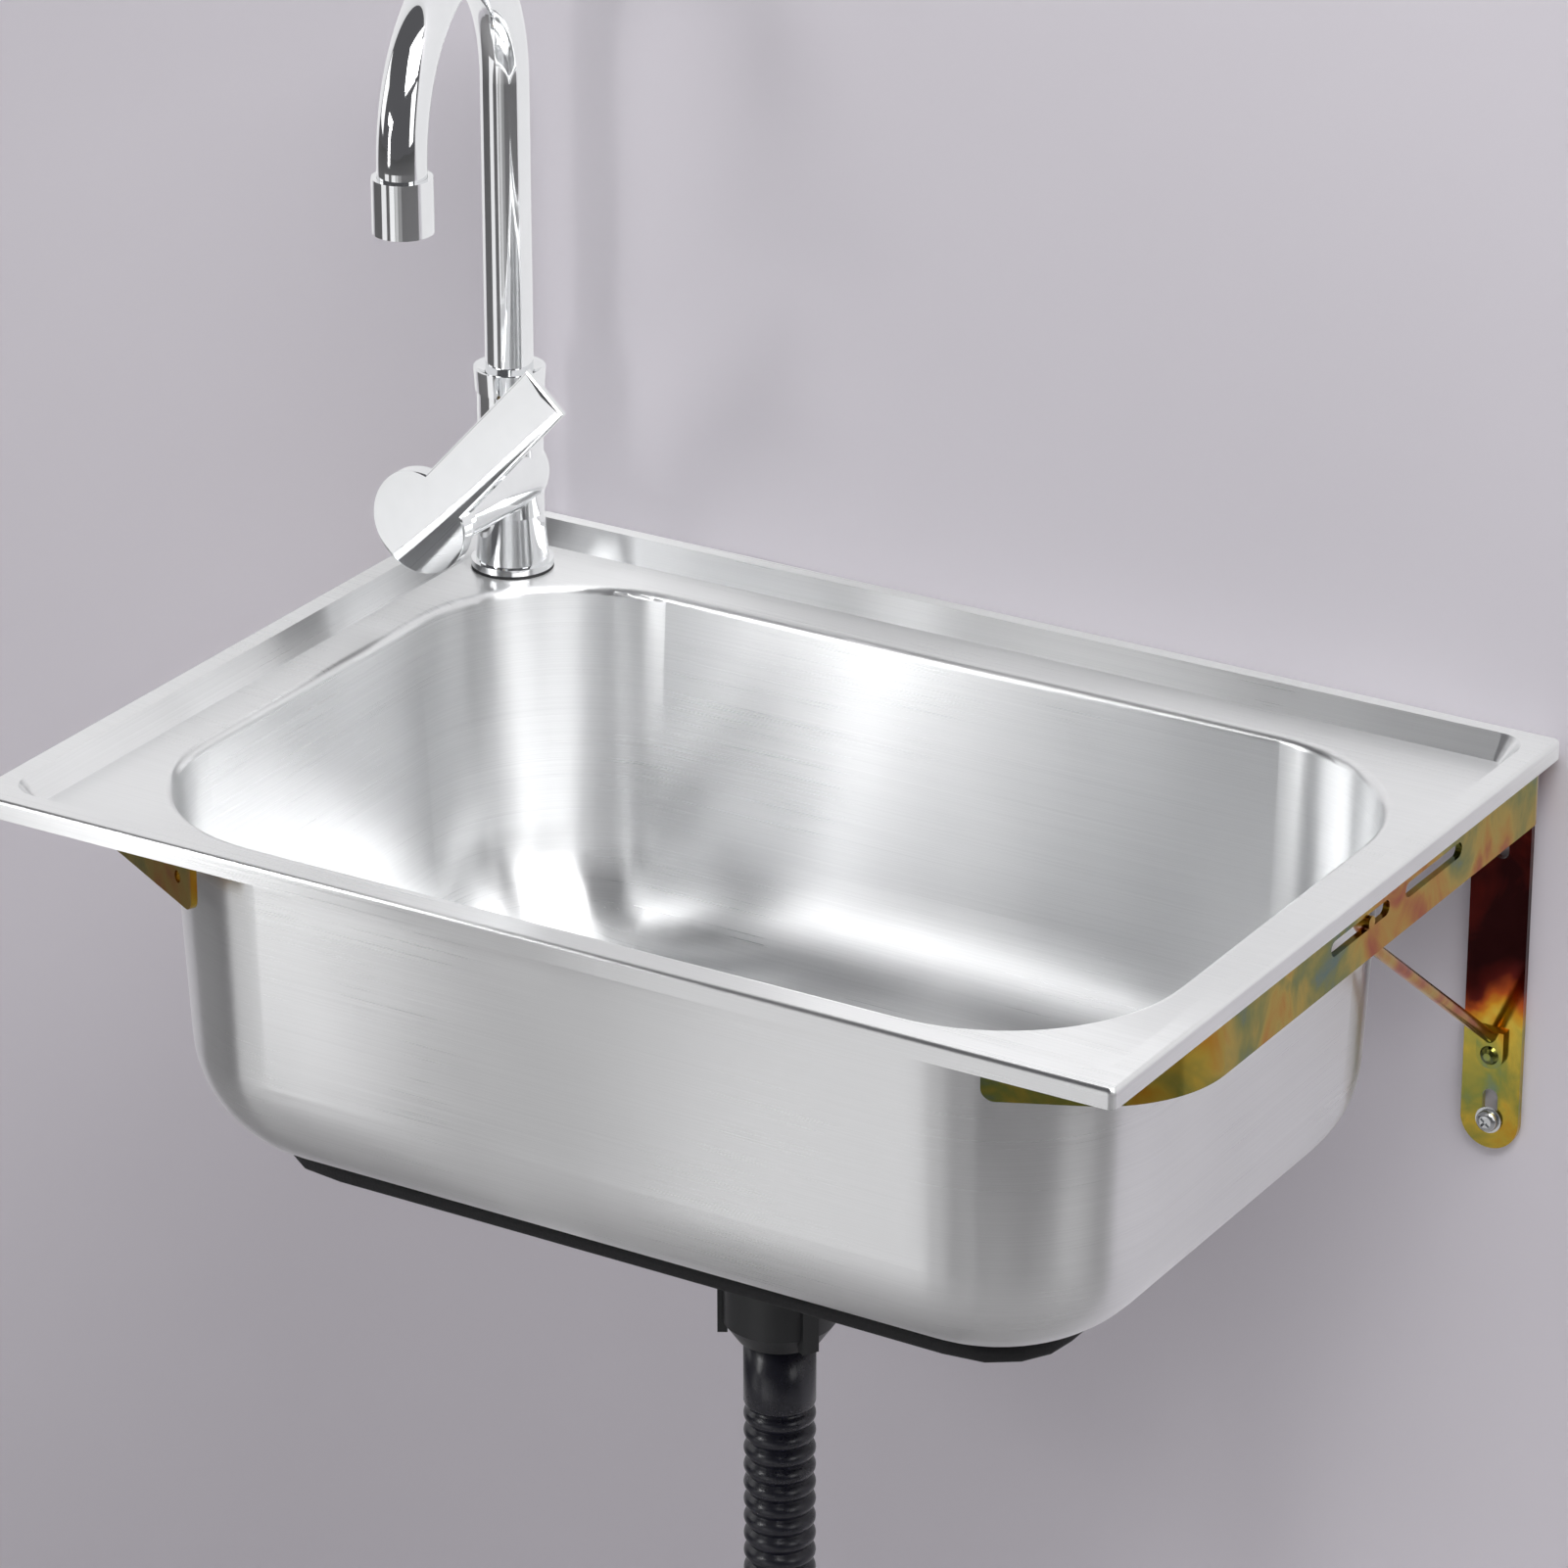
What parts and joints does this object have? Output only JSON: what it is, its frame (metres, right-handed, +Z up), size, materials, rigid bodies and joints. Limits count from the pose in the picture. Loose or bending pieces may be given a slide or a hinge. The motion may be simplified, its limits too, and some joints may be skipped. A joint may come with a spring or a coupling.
{
  "type": "wall-mounted hand sink",
  "caption": "Small pressed steel hand sink on two yellow-zinc wall brackets, with a chrome gooseneck lever tap, a basket strainer waste and a ribbed drain hose.",
  "frame": {"origin": "Centre of the four wall screws, on the plane of the wall.", "axes": "+X to the user's right, +Y into the wall, +Z up."},
  "size_m": [0.55, 0.438, 1.1073],
  "materials": {
    "pressed_steel": "satin pressed stainless steel",
    "polished_steel": "polished stainless strainer parts",
    "tap_chrome": "mirror chrome plating",
    "zinc_yellow": "glossy yellow-passivated zinc plating",
    "zinc_clear": "clear zinc plating",
    "valve_brass": "machined brass",
    "black_rubber": "matt black rubber",
    "pad_foam": "fine-grained matt black foam pad",
    "black_plastic": "black moulded plastic",
    "hose_plastic": "slightly glossy blue-black plastic",
    "white_plastic": "white acetal",
    "white_ceramic": "lapped white ceramic"
  },
  "bodies": {
    "sink": {"arm_left": "zinc_yellow", "arm_right": "zinc_yellow", "arm_rivets": "zinc_yellow", "brace_left": "zinc_yellow", "brace_right": "zinc_yellow", "brace_rivets": "zinc_yellow", "cartridge_nut": "valve_brass", "cartridge_seal": "black_rubber", "ceramic_disc_fixed": "white_ceramic", "cup_screw": "polished_steel", "drain_hose": "hose_plastic", "hose_end_plug": "black_rubber", "hose_nut": "black_plastic", "hose_seal": "black_rubber", "lower_gasket": "black_rubber", "sink_bowl": "pressed_steel", "sound_pad": "pad_foam", "spout_bush": "white_plastic", "spout_collar": "tap_chrome", "strainer_cup": "polished_steel", "tap_base_seal": "black_rubber", "tap_body": "tap_chrome", "tap_lock_nut": "valve_brass", "tap_rubber_washer": "black_rubber", "tap_steel_washer": "zinc_clear", "top_gasket": "black_rubber", "valve_cartridge": "valve_brass", "wall_plate_left": "zinc_yellow", "wall_plate_right": "zinc_yellow", "wall_screws": "zinc_clear", "wall_washers": "zinc_clear", "waste_body": "black_plastic"},
    "spout": {"spout_tube": "tap_chrome", "spout_clip": "polished_steel", "spout_seals": "black_rubber", "aerator_shell": "tap_chrome", "aerator_washer": "black_rubber", "aerator_insert": "white_plastic"},
    "lever": {"lever_handle": "tap_chrome", "lever_grub_screw": "zinc_clear", "valve_spindle": "valve_brass", "ceramic_disc_turning": "white_ceramic"},
    "basket": {"basket_strainer": "polished_steel", "basket_stopper": "black_rubber", "basket_knob": "polished_steel"}
  },
  "joints": [
    {"name": "spout_swivel", "type": "hinge", "parent": "sink", "child": "spout", "pos_m": [-0.234, -0.046, 0.2], "axis": [0, 0, 1], "range_deg": [-109, 81]},
    {"name": "lever_turn", "type": "hinge", "parent": "sink", "child": "lever", "pos_m": [-0.234, -0.115, 0.154], "axis": [0, -1, 0], "range_deg": [0, 90]},
    {"name": "basket_lift", "type": "slide", "parent": "sink", "child": "basket", "axis": [0, 0, 1], "range_m": [0, 0.06]}
  ]
}
